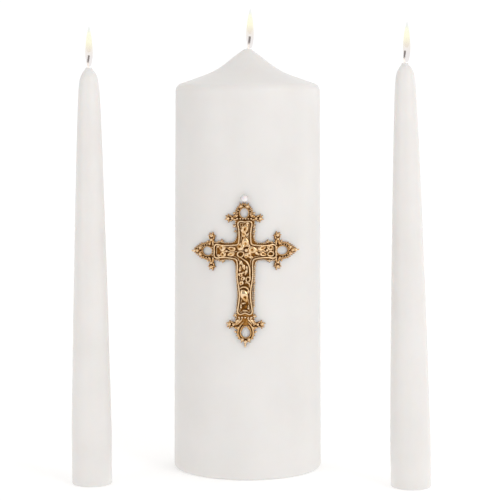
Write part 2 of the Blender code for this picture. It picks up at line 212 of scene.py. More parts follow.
def gold_material(name, level):
    """Antique gold: brown patina where it lies low or is enclosed, with painted light over it: a
    painted highlight where it stands out, painted shade at feet and where it is enclosed.

    The height is each vertex's own, or one level for a piece that has none.
    """
    material, tree, shader = new_material(name)
    if level is None:
        rise = node(tree, "ShaderNodeAttribute", attribute_name="rise").outputs["Fac"]
    else:
        rise = level
    patches = noise(tree, 900.0, 4.0, 0.6)
    grain = noise(tree, 5200.0, 3.0, 0.6)
    # Ambient occlusion darkens enclosed places: partly the patina of the hollows, partly painted
    # shade.
    hidden = node(tree, "ShaderNodeAmbientOcclusion", samples=8, only_local=False)
    set_inputs(hidden, Distance=0.0011)
    open_share = remap(tree, hidden.outputs["AO"], 0.25, 0.85, 0.0, 1.0)
    # This brightness stands for patina and rubbed wear, and also paints highlights on tops and
    # crests and shade at feet, sides and in hollows.
    wear_and_painted_light = jitter(tree, rise, patches, 0.60)
    wear_and_painted_light = math_node(tree, "MULTIPLY", wear_and_painted_light, remap(tree, open_share, 0.0, 1.0, 0.25, 1.0))
    colour = ramp(tree, wear_and_painted_light, [
        (0.04, (0.085, 0.028, 0.002)), (0.24, (0.310, 0.122, 0.016)),
        (0.48, (0.610, 0.325, 0.100)), (0.85, (0.870, 0.660, 0.425))])
    tree.links.new(remap(tree, wear_and_painted_light, 0.05, 0.35, 0.85, 1.0), shader.inputs["Metallic"])
    rough = remap(tree, wear_and_painted_light, 0.1, 0.8, 0.55, 0.18)
    paint(tree, shader, colour, rough, grain, 0.25, 0.00004)
    return material


def pearl_material():
    """Lustre with soft swirls, and painted shade: greyer where the ball turns away from its pin's
    axis.
    """
    material, tree, shader = new_material("pearl_lustre")
    swirl = noise(tree, 700.0, 2.0, 0.5)
    colour = ramp(tree, swirl, [(0.35, (0.80, 0.76, 0.765)), (0.6, (0.87, 0.845, 0.845))])
    low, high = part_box("pearl_head")
    middle = (low + high) / 2
    x, _, z = position(tree)
    across = math_node(tree, "SUBTRACT", x, middle.x)
    above = math_node(tree, "SUBTRACT", z, middle.z)
    squares = [math_node(tree, "MULTIPLY", side, side) for side in (across, above)]
    from_pin = math_node(tree, "SQRT", math_node(tree, "ADD", *squares))
    # A grey band towards the ball's edge round the pin's axis: painted shade at its outline.
    painted_rim_shade = remap(tree, from_pin, (high.z - low.z) * 0.28, (high.z - low.z) * 0.5, 0.0, 0.75)
    colour = mix_colour(tree, painted_rim_shade, colour, (0.50, 0.47, 0.46))
    set_inputs(shader, Sheen_Weight=0.25, Coat_Weight=0.6, Coat_Roughness=0.08,
               Subsurface_Weight=0.2, Subsurface_Scale=0.001)
    paint(tree, shader, colour, remap(tree, swirl, 0.3, 0.7, 0.16, 0.24), swirl, 0.05, 0.0001)
    return material


def wick_material(name, char_start, char_full):
    """Cotton that is pale by the wax and burnt black above, by height in millimetres."""
    material, tree, shader = new_material(name)
    soot = noise(tree, 1500.0, 3.0, 0.6)
    height = jitter(tree, position(tree)[2], soot, 0.0012)
    burnt = remap(tree, height, char_start * MM, char_full * MM, 0.0, 1.0)
    cotton = ramp(tree, soot, [(0.3, (0.78, 0.72, 0.66)), (0.7, (0.92, 0.88, 0.84))])
    black = ramp(tree, soot, [(0.3, (0.006, 0.004, 0.003)), (0.75, (0.045, 0.032, 0.025))])
    # The pale cotton gives off light of its own: painted light, standing in for the flame lighting
    # it.
    tree.links.new(mix_colour(tree, burnt, (0.95, 0.84, 0.76), (0.0, 0.0, 0.0)),
                   shader.inputs["Emission Color"])
    set_inputs(shader, Emission_Strength=0.3)
    rough = remap(tree, soot, 0.3, 0.7, 0.75, 0.95)
    paint(tree, shader, mix_colour(tree, burnt, cotton, black), rough, soot, 0.5, 0.00015)
    return material


def flame_material(name, low, high):
    """A flame: see-through and faintly rosy at its foot, pale yellow and solid above."""
    material = bpy.data.materials.new(name)
    material.use_nodes = True
    tree = material.node_tree
    tree.nodes.remove(tree.nodes["Principled BSDF"])
    flicker = noise(tree, 260.0, 2.0, 0.5, stretch=(1.0, 1.0, 0.35))
    share = remap(tree, position(tree)[2], low * MM, high * MM, 0.0, 1.0)
    share = jitter(tree, share, flicker, 0.10)
    colour = ramp(tree, share, [
        (0.0, (0.74, 0.68, 0.66)), (0.22, (0.72, 0.64, 0.62)), (0.42, (0.84, 0.75, 0.63)),
        (0.60, (1.0, 0.97, 0.72)), (0.82, (1.0, 1.0, 0.78)), (0.93, (0.78, 0.81, 0.77))])
    glow = node(tree, "ShaderNodeEmission")
    tree.links.new(colour, glow.inputs["Color"])
    mix = node(tree, "ShaderNodeMixShader")
    solid = ramp(tree, share, [(at, (level,) * 3) for at, level in (
        (0.0, 0.26), (0.12, 0.32), (0.30, 0.32), (0.50, 0.42), (0.85, 0.42), (1.0, 0.22))])
    clear = node(tree, "ShaderNodeBsdfTransparent").outputs["BSDF"]
    for socket, value in zip(mix.inputs, (solid, clear, glow.outputs["Emission"])):
        tree.links.new(value, socket)
    tree.links.new(mix.outputs["Shader"], tree.nodes["Material Output"].inputs["Surface"])
    return material


def metal_material(name, colour, rough):
    """Drawn or rolled metal, with fine marks along its length."""
    material, tree, shader = new_material(name)
    brushed = noise(tree, 900.0, 4.0, 0.6, stretch=(1.0, 1.0, 0.1))
    bright = tuple(min(1.0, c * 1.15) for c in colour)
    set_inputs(shader, Metallic=1.0)
    paint(tree, shader, ramp(tree, brushed, [(0.3, colour), (0.7, bright)]),
          remap(tree, brushed, 0.3, 0.7, rough - 0.06, rough + 0.08), brushed, 0.2, 0.00005)
    return material


def paper_material():
    """Unprinted label paper, with its fibres."""
    material, tree, shader = new_material("blank_label_paper")
    fibre = noise(tree, 1200.0, 5.0, 0.65)
    colour = ramp(tree, fibre, [(0.3, (0.80, 0.79, 0.76)), (0.7, (0.88, 0.87, 0.84))])
    paint(tree, shader, colour, remap(tree, fibre, 0.3, 0.7, 0.8, 0.95), fibre, 0.3, 0.00005)
    return material


# ---- curves

def catmull(points, steps, closed=False):
    """Points of a Catmull-Rom curve through the given ones, in any number of dimensions."""
    points = np.array(points, float)
    count = len(points)
    spans = count if closed else count - 1
    found = []
    for i in range(spans):
        if closed:
            a, b, c, d = (points[(i + k) % count] for k in (-1, 0, 1, 2))
        else:
            a, b, c, d = (points[min(max(i + k, 0), count - 1)] for k in (-1, 0, 1, 2))
        for step in range(steps):
            t = step / steps
            found.append(0.5 * (2 * b + (c - a) * t + (2 * a - 5 * b + 4 * c - d) * t ** 2
                                + (3 * b - a - 3 * c + d) * t ** 3))
    if not closed:
        found.append(points[-1])
    return np.array(found)


def evenly(points, gap, closed=False):
    """Points at an even distance along a line of points."""
    points = np.array(points, float)
    if closed:
        points = np.vstack([points, points[:1]])
    lengths = np.linalg.norm(np.diff(points, axis=0), axis=1)
    along = np.concatenate([[0.0], np.cumsum(lengths)])
    count = max(2, int(round(along[-1] / gap)))
    at = np.linspace(0.0, along[-1], count + 1)
    if closed:
        at = at[:-1]
    return np.stack([np.interp(at, along, points[:, k]) for k in range(points.shape[1])], axis=1)


def arc(cx, cy, radius, start, end, count):
    """Points of an arc between two angles in degrees."""
    angles = np.radians(np.linspace(start, end, count + 1))
    return [(cx + radius * cos(a), cy + radius * sin(a)) for a in angles]


# ---- meshes

def make_object(name, verts, faces, material):
    """One mesh object from vertices in metres."""
    mesh = bpy.data.meshes.new(name)
    mesh.from_pydata([tuple(v) for v in verts], [], faces)
    mesh.materials.append(material)
    mesh.shade_smooth()
    mesh.validate()
    obj = bpy.data.objects.new(name, mesh)
    bpy.context.scene.collection.objects.link(obj)
    return obj


def revolve(profile, steps, wobble=None, centre=(0.0, 0.0), lean=0.0):
    """Vertices and faces of a solid turned about the upright axis, from its top to its foot."""
    verts = []
    faces = []
    rings = []
    for r, z in profile:
        if r < 1e-6:
            rings.append([len(verts)])
            verts.append((centre[0] + lean * z, centre[1], z))
            continue
        ring = []
        for k in range(steps):
            a = PI2 * k / steps
            out = r + (wobble(a, z, r) if wobble else 0.0)
            ring.append(len(verts))
            verts.append((centre[0] + out * cos(a) + lean * z, centre[1] + out * sin(a), z))
        rings.append(ring)
    for upper, lower in zip(rings, rings[1:]):
        for k in range(steps):
            n = (k + 1) % steps
            if len(upper) == 1:
                faces.append((upper[0], lower[k], lower[n]))
            elif len(lower) == 1:
                faces.append((upper[k], lower[0], upper[n]))
            else:
                faces.append((upper[k], lower[k], lower[n], upper[n]))
    return np.array(verts) * MM, faces


# ---- parts of a flat plate

def oriented(loop, anticlockwise):
    area = np.sum(loop[:, 0] * np.roll(loop[:, 1], -1) - np.roll(loop[:, 0], -1) * loop[:, 1])
    return loop if (area > 0) == anticlockwise else loop[::-1]


def shifted(loop, distance):
    """A loop moved to its left by a distance, which is inwards for an anticlockwise one."""
    along = np.roll(loop, -1, axis=0) - np.roll(loop, 1, axis=0)
    along = along / np.maximum(np.linalg.norm(along, axis=1, keepdims=True), 1e-9)
    return loop + np.stack([-along[:, 1], along[:, 0]], axis=1) * distance


def plate_wall(work, loop, low, high, bevel):
    """The wall along one loop: its rings at the foot, below the bevel and at the top."""
    rings = []
    for ring, w in ((loop, low), (loop, high - bevel), (shifted(loop, bevel), high)):
        rings.append([work.verts.new((p[0], p[1], w)) for p in ring])
    count = len(loop)
    for lower, upper in zip(rings, rings[1:]):
        for k in range(count):
            n = (k + 1) % count
            work.faces.new((lower[k], lower[n], upper[n], upper[k]))
    return rings


def cap(work, rings, face_down):
    """The flat face between an outline's ring and its holes' rings."""
    corner = [v for ring in rings for v in ring]
    for triangle in tessellate_polygon([[v.co.copy() for v in ring] for ring in rings]):
        face = [corner[i] for i in triangle]
        upward = (face[1].co - face[0].co).cross(face[2].co - face[0].co).z
        if (upward < 0) != face_down:
            face.reverse()
        work.faces.new(face)


def split_into_strips(work, width):
    low = min(v.co.x for v in work.verts)
    high = max(v.co.x for v in work.verts)
    cuts = int((high - low) / width)
    for i in range(1, cuts + 1):
        at = low + (high - low) * i / (cuts + 1)
        everything = work.verts[:] + work.edges[:] + work.faces[:]
        bmesh.ops.bisect_plane(work, geom=everything, plane_co=(at, 0, 0), plane_no=(1, 0, 0),
                               dist=0.0001)


# ---- shapes wrapped on the pillar

def wrap(points):
    """Metres in the shared frame from millimetres on the cross.

    u runs round the pillar, v runs up it and w is the height above the wax.
    """
    p = np.array(points, float)
    z = CROSS_Z + p[:, 1]
    radius = BASE_RADIUS - BODY_DRAFT * z + p[:, 2]
    angle = (p[:, 0] + CROSS_SHIFT) / WRAP_RADIUS
    return np.stack([radius * np.sin(angle), -radius * np.cos(angle), z], axis=1) * MM


class Relief:
    """Closed shapes drawn flat in millimetres, each with a rise from 0 at its foot to 1 on top.

    The gold's material reads the rise as brightness, so it paints highlights on tops and crests and
    shade at feet, along with the patina. A gain below 1 makes a whole piece darker.
    """

    def __init__(self, origin=(0.0, 0.0), turn=0.0, gain=1.0):
        self.origin = origin
        self.gain = gain
        self.turn = radians(turn)
        self.verts = []
        self.faces = []
        self.rise = []

    def at(self, point):
        """A point of the shape's own frame, in the cross's frame."""
        x, y = point[0], point[1]
        u = self.origin[0] + x * cos(self.turn) - y * sin(self.turn)
        v = self.origin[1] + x * sin(self.turn) + y * cos(self.turn)
        return (u, v, *point[2:])

    def add(self, verts, faces, rise, placed=False):
        """Takes in one shape; a placed one is already in the cross's frame."""
        start = len(self.verts)
        self.verts.extend(tuple(v) if placed else self.at(v) for v in verts)
        self.faces.extend(tuple(start + i for i in f) for f in faces)
        self.rise.extend(r * self.gain for r in rise)

    def bead(self, u, v, w, radius, flat=1.0, sides=10, rings=6):
        """A ball, or a flattened one."""
        verts = [(u, v, w + radius * flat)]
        # The rise runs from 1 at the top to 0 at the foot: a painted highlight on top and painted
        # shade underneath.
        rise = [1.0]
        for i in range(1, rings):
            a = pi * i / rings
            for k in range(sides):
                b = PI2 * k / sides
                verts.append((u + radius * sin(a) * cos(b), v + radius * sin(a) * sin(b),
                              w + radius * flat * cos(a)))
                rise.append(0.5 + 0.5 * cos(a))
        verts.append((u, v, w - radius * flat))
        rise.append(0.0)
        last = len(verts) - 1
        faces = []
        for k in range(sides):
            n = (k + 1) % sides
            faces.append((0, 1 + k, 1 + n))
            for i in range(rings - 2):
                a = 1 + i * sides
                faces.append((a + k, a + sides + k, a + sides + n, a + n))
            a = 1 + (rings - 2) * sides
            faces.append((a + k, last, a + n))
        self.add(verts, faces, rise)

    def tube(self, path, radius, closed=False, sides=8, flat=1.0, taper=None):
        """A wire along (u, v, w) points; taper gives the share of its radius at each end."""
        path = np.array(path, float)
        count = len(path)
        verts = []
        rise = []
        faces = []
        for i in range(count):
            if closed:
                along = path[(i + 1) % count] - path[i - 1]
            else:
                along = path[min(i + 1, count - 1)] - path[max(i - 1, 0)]
            along[2] = 0.0
            along = along / (np.linalg.norm(along) + 1e-9)
            side = np.array([-along[1], along[0], 0.0])
            size = radius
            if taper:
                t = i / (count - 1)
                for share, reach in zip(taper, (t, 1.0 - t)):
                    size *= share + (1.0 - share) * min(1.0, reach * 3.0)
            for k in range(sides):
                a = PI2 * k / sides
                lift = np.array([0.0, 0.0, size * flat * sin(a)])
                verts.append(path[i] + side * size * cos(a) + lift)
                # The crest gets the most rise and the sides and underside the least: a painted
                # highlight along the top of the wire, painted shade below.
                rise.append(0.15 + 0.70 * max(0.0, sin(a)) ** 1.5)
        rows = count if closed else count - 1
        for i in range(rows):
            n = (i + 1) % count
            for k in range(sides):
                m = (k + 1) % sides
                faces.append((i * sides + k, n * sides + k, n * sides + m, i * sides + m))
        if not closed:
            faces.append(tuple(range(sides)))
            faces.append(tuple((count - 1) * sides + k for k in reversed(range(sides))))
        self.add(verts, [tuple(reversed(f)) for f in faces], rise)

    def loop(self, line, w, radius, **shape):
        """A closed wire that lies at one height."""
        self.tube([(u, v, w) for u, v in line], radius, closed=True, **shape)

    def leaf(self, u, v, angle, length, width, height=0.85, foot=FIELD_TOP, dimple=0.5, at=0.5,
             slot=0.10):
        """A domed leaf, its length along an angle in degrees.

        It has a hollow of a depth (dimple), a place along the leaf (at) and a length (slot).
        """
        rows, columns = 18, 14
        a = radians(angle)
        verts = []
        rise = []
        for i in range(rows + 1):
            s = i / rows
            swell = max(0.0, sin(pi * s ** 0.75))
            half = width / 2 * swell ** 0.75
            for k in range(columns + 1):
                t = 2 * k / columns - 1
                dome = (1 - t * t) ** 0.5 * swell ** 0.5
                pit = np.exp(-((s - at) / slot) ** 2 - (t / 0.32) ** 2)
                high = dome * (1 - 0.9 * dimple * pit)
                x = (s - 0.5) * length
                y = half * t
                verts.append((u + x * cos(a) - y * sin(a), v + x * sin(a) + y * cos(a),
                              foot - 0.15 + (height + 0.15) * high))
                # The dome's top gets the most rise and the foot and hollow the least: painted
                # highlight on the dome, painted shade at the foot and in the hollow, along with the
                # hollow's patina.
                rise.append(0.06 + 0.87 * dome * (1 - min(1.0, 1.5 * pit * dimple)))
        faces = []
        wide = columns + 1
        for i in range(rows):
            for k in range(columns):
                b = i * wide + k
                faces.append((b, b + wide, b + wide + 1, b + 1))
        faces += [(b, b + columns, b + wide + columns, b + wide)
                  for b in range(0, rows * wide, wide)]
        self.add(verts, faces, rise)

    def plate(self, outline, holes, low, high, bevel=0.1, rise_top=0.2, wall=0.05):
        """A flat plate with holes and eased edges, split into strips so that it can bend."""
        loops = [np.array([self.at(p) for p in loop], float) for loop in [outline] + holes]
        loops = [oriented(loop, i == 0) for i, loop in enumerate(loops)]
        work = bmesh.new()
        walls = [plate_wall(work, loop, low, high, bevel) for loop in loops]
        cap(work, [rings[2] for rings in walls], False)
        cap(work, [rings[0] for rings in walls], True)
        split_into_strips(work, 1.2)
        work.verts.index_update()
        verts = [tuple(v.co) for v in work.verts]
        faces = [tuple(v.index for v in f.verts) for f in work.faces]
        # The top face gets rise_top and the walls get wall; a low wall paints shade down the
        # plate's sides.
        rise = [rise_top if v[2] > high - bevel * 0.5 else wall for v in verts]
        work.free()
        self.add(verts, faces, rise, placed=True)

    def build(self, name, material):
        obj = make_object(name, wrap(self.verts), self.faces, material)
        attribute = obj.data.attributes.new("rise", "FLOAT", "POINT")
        attribute.data.foreach_set("value", np.array(self.rise, np.float32))
        return obj


# ---- the cross's shapes

def mirrored(right_side):
    """A closed outline from its right-hand half, given from top to bottom."""
    return right_side + [(-u, v) for u, v in reversed(right_side) if u > 0.001]


def oval(u, v, half_width, half_height, count=28, point=0.0):
    """An oval, drawn out to a point on its far side, or on its near side if that is negative."""
    found = []
    for i in range(count):
        a = PI2 * i / count
        rise = half_height + abs(point) * max(0.0, sin(a) if point > 0 else -sin(a)) ** 4
        found.append((u + half_width * cos(a), v + rise * sin(a)))
    return found


PLATE_OUTLINE = [
    (0.0, 15.5), (4.2, 15.5), (4.6, 12.6), (3.9, 10.2), (4.1, 6.6), (5.6, 4.0), (10.0, 3.45),
    (12.2, 4.2), (14.3, 3.5), (15.8, 3.2), (15.8, -4.9), (14.3, -5.0), (12.2, -5.6),
    (10.0, -5.0), (6.2, -5.2), (4.7, -7.6), (4.4, -13.0), (3.9, -18.5), (3.6, -23.5),
    (4.1, -29.0), (4.3, -34.0), (4.9, -37.9), (2.4, -38.2), (0.0, -38.3),
]
PANEL_OUTLINE = [
    (0.0, 14.35), (1.5, 14.65), (2.9, 14.35), (3.35, 13.2), (2.95, 11.0), (2.75, 8.5),
    (2.85, 5.0), (3.4, 3.0), (6.0, 2.5), (9.5, 2.3), (11.5, 2.35), (13.4, 2.75), (14.7, 2.35),
    (15.25, 1.2), (15.15, -0.7), (15.25, -2.6), (14.7, -3.8), (13.4, -4.15), (11.5, -3.8),
    (9.0, -3.75), (6.0, -4.1), (4.3, -4.7),
    (3.65, -6.6), (3.75, -12.0), (3.4, -15.8), (2.85, -19.2), (2.6, -22.7), (2.9, -26.5),
    (3.35, -29.7), (3.4, -31.7), (2.3, -32.6), (1.0, -32.2), (0.0, -31.8),
]
FINIAL_HALF = [
    (2.9, 3.3), (3.8, 1.9), (4.1, 0.3), (4.6, -1.1), (6.0, -1.4), (7.6, -1.2), (8.7, -1.8),
    (9.1, -2.9), (8.4, -4.1), (6.9, -4.2), (5.5, -3.9), (4.4, -3.4), (0.0, -3.4),
]


def rail(outline, gap):
    """A dense even line of points along a smooth closed outline."""
    return evenly(catmull(outline, 6, True), gap, True)


def edge_beads(relief, line, radius, w, skip=()):
    """Milgrain: a bead at each point of a line, apart from where something else stands."""
    for i, (u, v) in enumerate(line):
        if any(abs(u - a) < c and abs(v - b) < c for a, b, c in skip):
            continue
        grown = radius * (1.0 + 0.16 * sin(2.4 * i))
        relief.bead(u, v, w, grown, 1.0, 8, 5)


def scroll_leaf(relief, u, v, angle, size):
    """Three small leaves that fan out of one foot."""
    for spread, reach, share in ((-48, 0.75, 0.8), (0, 1.0, 1.0), (48, 0.75, 0.8)):
        a = radians(angle + spread)
        relief.leaf(u + cos(a) * size * 0.5 * reach, v + sin(a) * size * 0.5 * reach,
                    angle + spread, size * 1.25 * share, size * 0.62 * share, 0.75, 0.85, 0.45)


def pin_hole():
    u, v, radius = PIN_HOLE
    return oval(u, v, radius, radius, 12)


def draw_plate():
    """The back plate: a scalloped edge with beads, small scrolls, and stems to the lower finial."""
    relief = Relief()
    outline = rail(mirrored(PLATE_OUTLINE), 0.42)
    waves = [1.0 if i % 2 else -1.0 for i in range(len(outline))]
    scalloped = outline + np.array(waves)[:, None] * 0.07
    relief.plate(scalloped, [pin_hole()], PLATE_LOW, PLATE_TOP, rise_top=0.30)
    line = evenly(shifted(oriented(outline, True), 0.02), 0.98, True)
    edge_beads(relief, line, 0.40, 1.1, [(0.0, 15.5, 4.0), (0.0, -37.4, 4.2),
                                          (15.8, -0.8, 2.6), (-15.8, -0.8, 2.6)])
    for path in ([(5.05, -7.4), (4.8, -12.0), (4.6, -18.0), (4.45, -24.0), (4.55, -28.5)],
                 [(4.85, 10.8), (4.65, 8.6), (4.6, 6.4), (4.8, 4.8)],
                 [(6.2, 3.45), (8.2, 3.35), (10.4, 3.5)]):
        edge_beads(relief, evenly(catmull(path, 8), 0.95), 0.46, 0.95)
    for u, v, angle, size in (
            (-4.6, 12.0, 150, 1.6), (4.0, 12.0, 30, 1.6), (-4.3, 9.6, 195, 1.3),
            (3.9, 9.6, -15, 1.3), (-11.6, 3.7, 100, 1.7), (-13.6, 3.3, 75, 1.3),
            (11.3, 3.5, 85, 1.7), (13.2, 3.2, 60, 1.3), (-11.0, -5.0, -100, 1.7),
            (-13.2, -4.8, -75, 1.3), (12.0, -4.9, -80, 1.6), (13.7, -4.6, -60, 1.2),
            (-4.3, -33.0, -160, 1.7), (4.2, -33.4, -20, 1.7), (4.3, -16.8, 10, 1.0)):
        scroll_leaf(relief, u, v, angle, size)
    for u, v, r in ((-5.3, 12.1, 0.55), (4.6, 12.2, 0.5), (-1.4, -34.2, 0.62), (0.1, -34.2, 0.6),
                    (3.1, -34.3, 0.7), (-2.9, -34.2, 0.6), (1.6, -34.4, 0.5)):
        relief.bead(u, v, 1.3, r)
    for side in (-1, 1):
        for start, reach, radius in ((1.3, 3.5, 0.42), (2.4, 5.0, 0.5)):
            points = ((start, -34.4), (start + 0.5, -35.6), (start + 1.6, -36.8), (reach, -37.9))
            stem(relief, [(side * u, v) for u, v in points], radius, 1.3)
        relief.leaf(side * 3.9, -36.0, 90 - side * 130, 2.6, 1.2, 0.9, 0.9, 0.3)
    return relief


def draw_field():
    """The raised field, with a low ledge inside its rim."""
    relief = Relief()
    line = rail(mirrored(PANEL_OUTLINE), 0.6)
    relief.plate(line, [pin_hole()], FIELD_LOW, FIELD_TOP, rise_top=0.16)
    relief.loop(shifted(oriented(line, True), 0.95), 1.36, 0.28)
    return relief


def draw_rim():
    relief = Relief()
    line = rail(mirrored(PANEL_OUTLINE), 0.35)
    relief.loop(line, RIM_W, 0.43, sides=12, flat=1.2)
    return relief


def vine_leaves(relief, leaves):
    """Leaves of the panel's relief: they lie close, with little of the field between them."""
    for u, v, angle, length, width, height, dimple, *hollow in leaves:
        at, slot = hollow + [0.5, 0.10][len(hollow):]
        relief.leaf(u, v, angle, length * 1.15, width * 1.42, height, dimple=dimple, at=at,
                    slot=slot + 0.02)


def wire_loop(relief, points, steps):
    relief.loop(catmull(points, steps, True), LOOP_W, LOOP_RADIUS)


def draw_flower():
    """The flower at the crossing: a bead, leaves round it and a loop of wire."""
    relief = Relief()
    relief.bead(0.66, 0.03, 2.55, 0.95, 1.0, 16, 10)
    vine_leaves(relief, [
        (-2.2, 1.65, 150, 3.7, 3.3, 1.15, 0.75, 0.62, 0.14),
        (0.2, 4.3, 95, 5.2, 3.2, 1.2, 0.6, 0.35),
        (3.9, 0.2, -8, 5.2, 3.1, 1.2, 0.7, 0.42, 0.09),
        (5.9, -1.7, -38, 3.4, 1.2, 1.0, 0.2),
        (1.9, -2.4, -70, 3.4, 2.3, 1.1, 0.7, 0.55, 0.12),
        (0.6, -2.8, -105, 3.2, 2.0, 1.0, 0.5, 0.6, 0.12)])
    wire_loop(relief, [(-3.5, -1.6), (-2.6, -0.7), (-1.0, -0.8), (-0.5, -1.9), (-1.4, -3.2),
                       (-2.5, -3.4), (-3.4, -2.6)], 5)
    vine_leaves(relief, [
        (3.1, -3.6, -20, 2.4, 1.3, 0.9, 0.4), (-2.2, 3.3, 60, 1.6, 0.9, 0.9, 0.2),
        (2.1, 2.4, 50, 1.8, 1.0, 0.9, 0.2)])
    for bead in ((1.0, 2.3, 2.3, 0.55), (-0.9, 0.2, 2.1, 0.45), (2.1, 1.6, 2.1, 0.4)):
        relief.bead(*bead)
    return relief


def stem(relief, points, radius=0.4, w=2.1):
    """A wire through the points, thinner towards its ends."""
    line = evenly(catmull(points, 8), 0.3)
    relief.tube([(u, v, w) for u, v in line], radius, sides=8, taper=(0.5, 0.4))


def draw_left_vine():
    relief = Relief()
    vine_leaves(relief, [
        (-6.6, 0.7, 172, 4.2, 2.2, 1.1, 0.7, 0.5, 0.22),
        (-7.0, -2.2, 195, 4.0, 2.1, 1.0, 0.5, 0.45, 0.15),
        (-11.2, 0.9, 160, 3.5, 2.9, 1.1, 0.7, 0.6, 0.13),
        (-10.9, -2.3, 200, 3.4, 2.6, 1.05, 0.7, 0.5, 0.13),
        (-13.2, -2.9, 150, 2.0, 1.3, 0.9, 0.3), (-13.5, 1.6, 210, 1.9, 1.2, 0.9, 0.3)])
    relief.bead(-8.9, -0.5, 2.2, 0.7)
    stem(relief, [(-3.6, -0.5), (-5.5, -0.9), (-8.0, -0.7), (-9.9, -0.8), (-12.2, -0.7)],
         0.33, 1.9)
    return relief


def draw_right_vine():
    relief = Relief()
    vine_leaves(relief, [
        (8.3, 1.0, 12, 4.2, 2.2, 1.1, 0.6, 0.55, 0.2),
        (12.5, 1.25, 25, 3.5, 2.9, 1.15, 0.75, 0.5, 0.12),
        (8.9, -2.0, -12, 3.8, 2.0, 1.05, 0.8, 0.5, 0.2)])
    relief.bead(10.7, 0.0, 2.2, 0.72)
    wire_loop(relief, [(11.3, -1.2), (12.6, -0.7), (13.9, -1.5), (13.5, -2.8), (12.0, -3.0),
                       (11.0, -2.3)], 5)
    stem(relief, [(5.9, -0.2), (7.4, -0.6), (9.4, -0.4), (10.4, -0.9), (11.6, -0.4)], 0.33, 1.9)
    return relief


def draw_top_vine():
    relief = Relief()
    vine_leaves(relief, [
        (0.2, 11.2, 62, 5.6, 2.8, 1.2, 0.7, 0.4, 0.15),
        (-0.7, 8.1, 100, 3.2, 1.9, 1.0, 0.6, 0.5, 0.2),
        (1.5, 8.3, 60, 2.4, 1.0, 0.9, 0.2), (-1.7, 10.1, 120, 2.0, 1.0, 0.8, 0.2)])
    relief.bead(1.25, 13.6, 2.2, 0.8, 0.9)
    stem(relief, [(1.3, 6.0), (0.8, 7.6), (-0.4, 9.4), (-1.4, 11.4), (-0.9, 13.4)], 0.36)
    return relief


def draw_lower_vine():
    relief = Relief()
    stem(relief, [(-2.3, -3.4), (-0.7, -4.6), (0.8, -5.8), (1.8, -7.3), (2.3, -9.4),
                  (2.35, -12.4), (2.7, -14.6)], 0.5, 2.3)
    vine_leaves(relief, [
        (-1.7, -6.4, -60, 3.0, 1.3, 0.8, 0.3), (-0.5, -8.6, -75, 3.2, 1.4, 0.8, 0.4),
        (0.6, -11.2, -110, 3.4, 1.2, 0.85, 0.3), (-2.3, -9.3, 80, 3.2, 1.3, 0.95, 0.4),
        (1.0, -8.9, -80, 2.4, 0.9, 0.8, 0.2), (-0.9, -11.4, 35, 2.2, 1.0, 0.8, 0.3),
        (-2.4, -6.9, -95, 1.8, 0.8, 0.7, 0.2), (-2.1, -12.5, -35, 2.8, 1.7, 1.0, 0.7),
        (-1.1, -14.4, 200, 2.6, 1.8, 1.05, 0.75), (-1.8, -16.8, 240, 2.8, 2.0, 1.0, 0.6)])
    wire_loop(relief, [(0.6, -14.2), (1.6, -13.5), (2.5, -14.4), (1.9, -15.8), (0.9, -15.9)], 6)
    stem(relief, [(-2.6, -19.6), (-1.2, -18.7), (0.3, -18.7), (1.4, -19.6), (2.3, -21.4)], 0.5)
    stem(relief, [(0.0, -16.6), (1.0, -16.4), (2.1, -17.2), (2.5, -18.9)])
    vine_leaves(relief, [
        (-0.2, -23.3, -70, 6.6, 3.3, 1.25, 0.85, 0.6, 0.09),
        (-1.3, -20.9, -60, 2.0, 1.2, 1.1, 0.5), (1.5, -21.4, -100, 2.4, 0.9, 0.9, 0.1),
        (-1.9, -28.3, 92, 2.8, 1.0, 1.05, 0.1), (1.7, -28.8, 88, 2.8, 1.0, 1.0, 0.1),
        (-0.5, -26.9, 10, 2.4, 0.9, 1.0, 0.1), (0.2, -30.7, -5, 2.8, 1.0, 0.9, 0.2)])
    return relief


def finial_outline(far, lobe_drop):
    """The finial's edge: a round crest, or a tall one that ends far out in a tip."""
    half = [(u, v + (lobe_drop if u > 4.3 else 0.0)) for u, v in FINIAL_HALF]
    if far:
        half = [(0.0, far + 1.5), (0.8, far + 1.2), (1.6, far - 0.2), (2.6, far - 1.8),
                (3.5, far - 3.3)] + half[1:]
    else:
        half = [(0.0, 4.5), (1.6, 4.1)] + half
    return rail(mirrored(half), 0.45)


def ring_leaves(relief, half_x, half_y, centre):
    """Small leaves round the far part of the opening, with a bead at every second one."""
    ring = evenly(oval(0.0, centre, half_x + 1.8, half_y + 1.75, 48), 0.9, True)
    for i, (u, v) in enumerate(p for p in ring if p[1] > centre - 1.6):
        angle = atan2(v, u)
        side = 1 if u > 0 else -1
        relief.leaf(u + 0.1 * cos(angle), v + 0.1 * sin(angle), angle * 180 / pi + 38 * side,
                    1.7, 0.85, 0.75, 0.95, 0.2)
        if i % 2 == 0:
            relief.bead(u * 0.83, v * 0.83, 1.35, 0.42)


LOBE_TIP = (2.0, 0.9, 0.8, 0.8, 0.1)  # length, width, height, foot and dimple of a bud's leaf


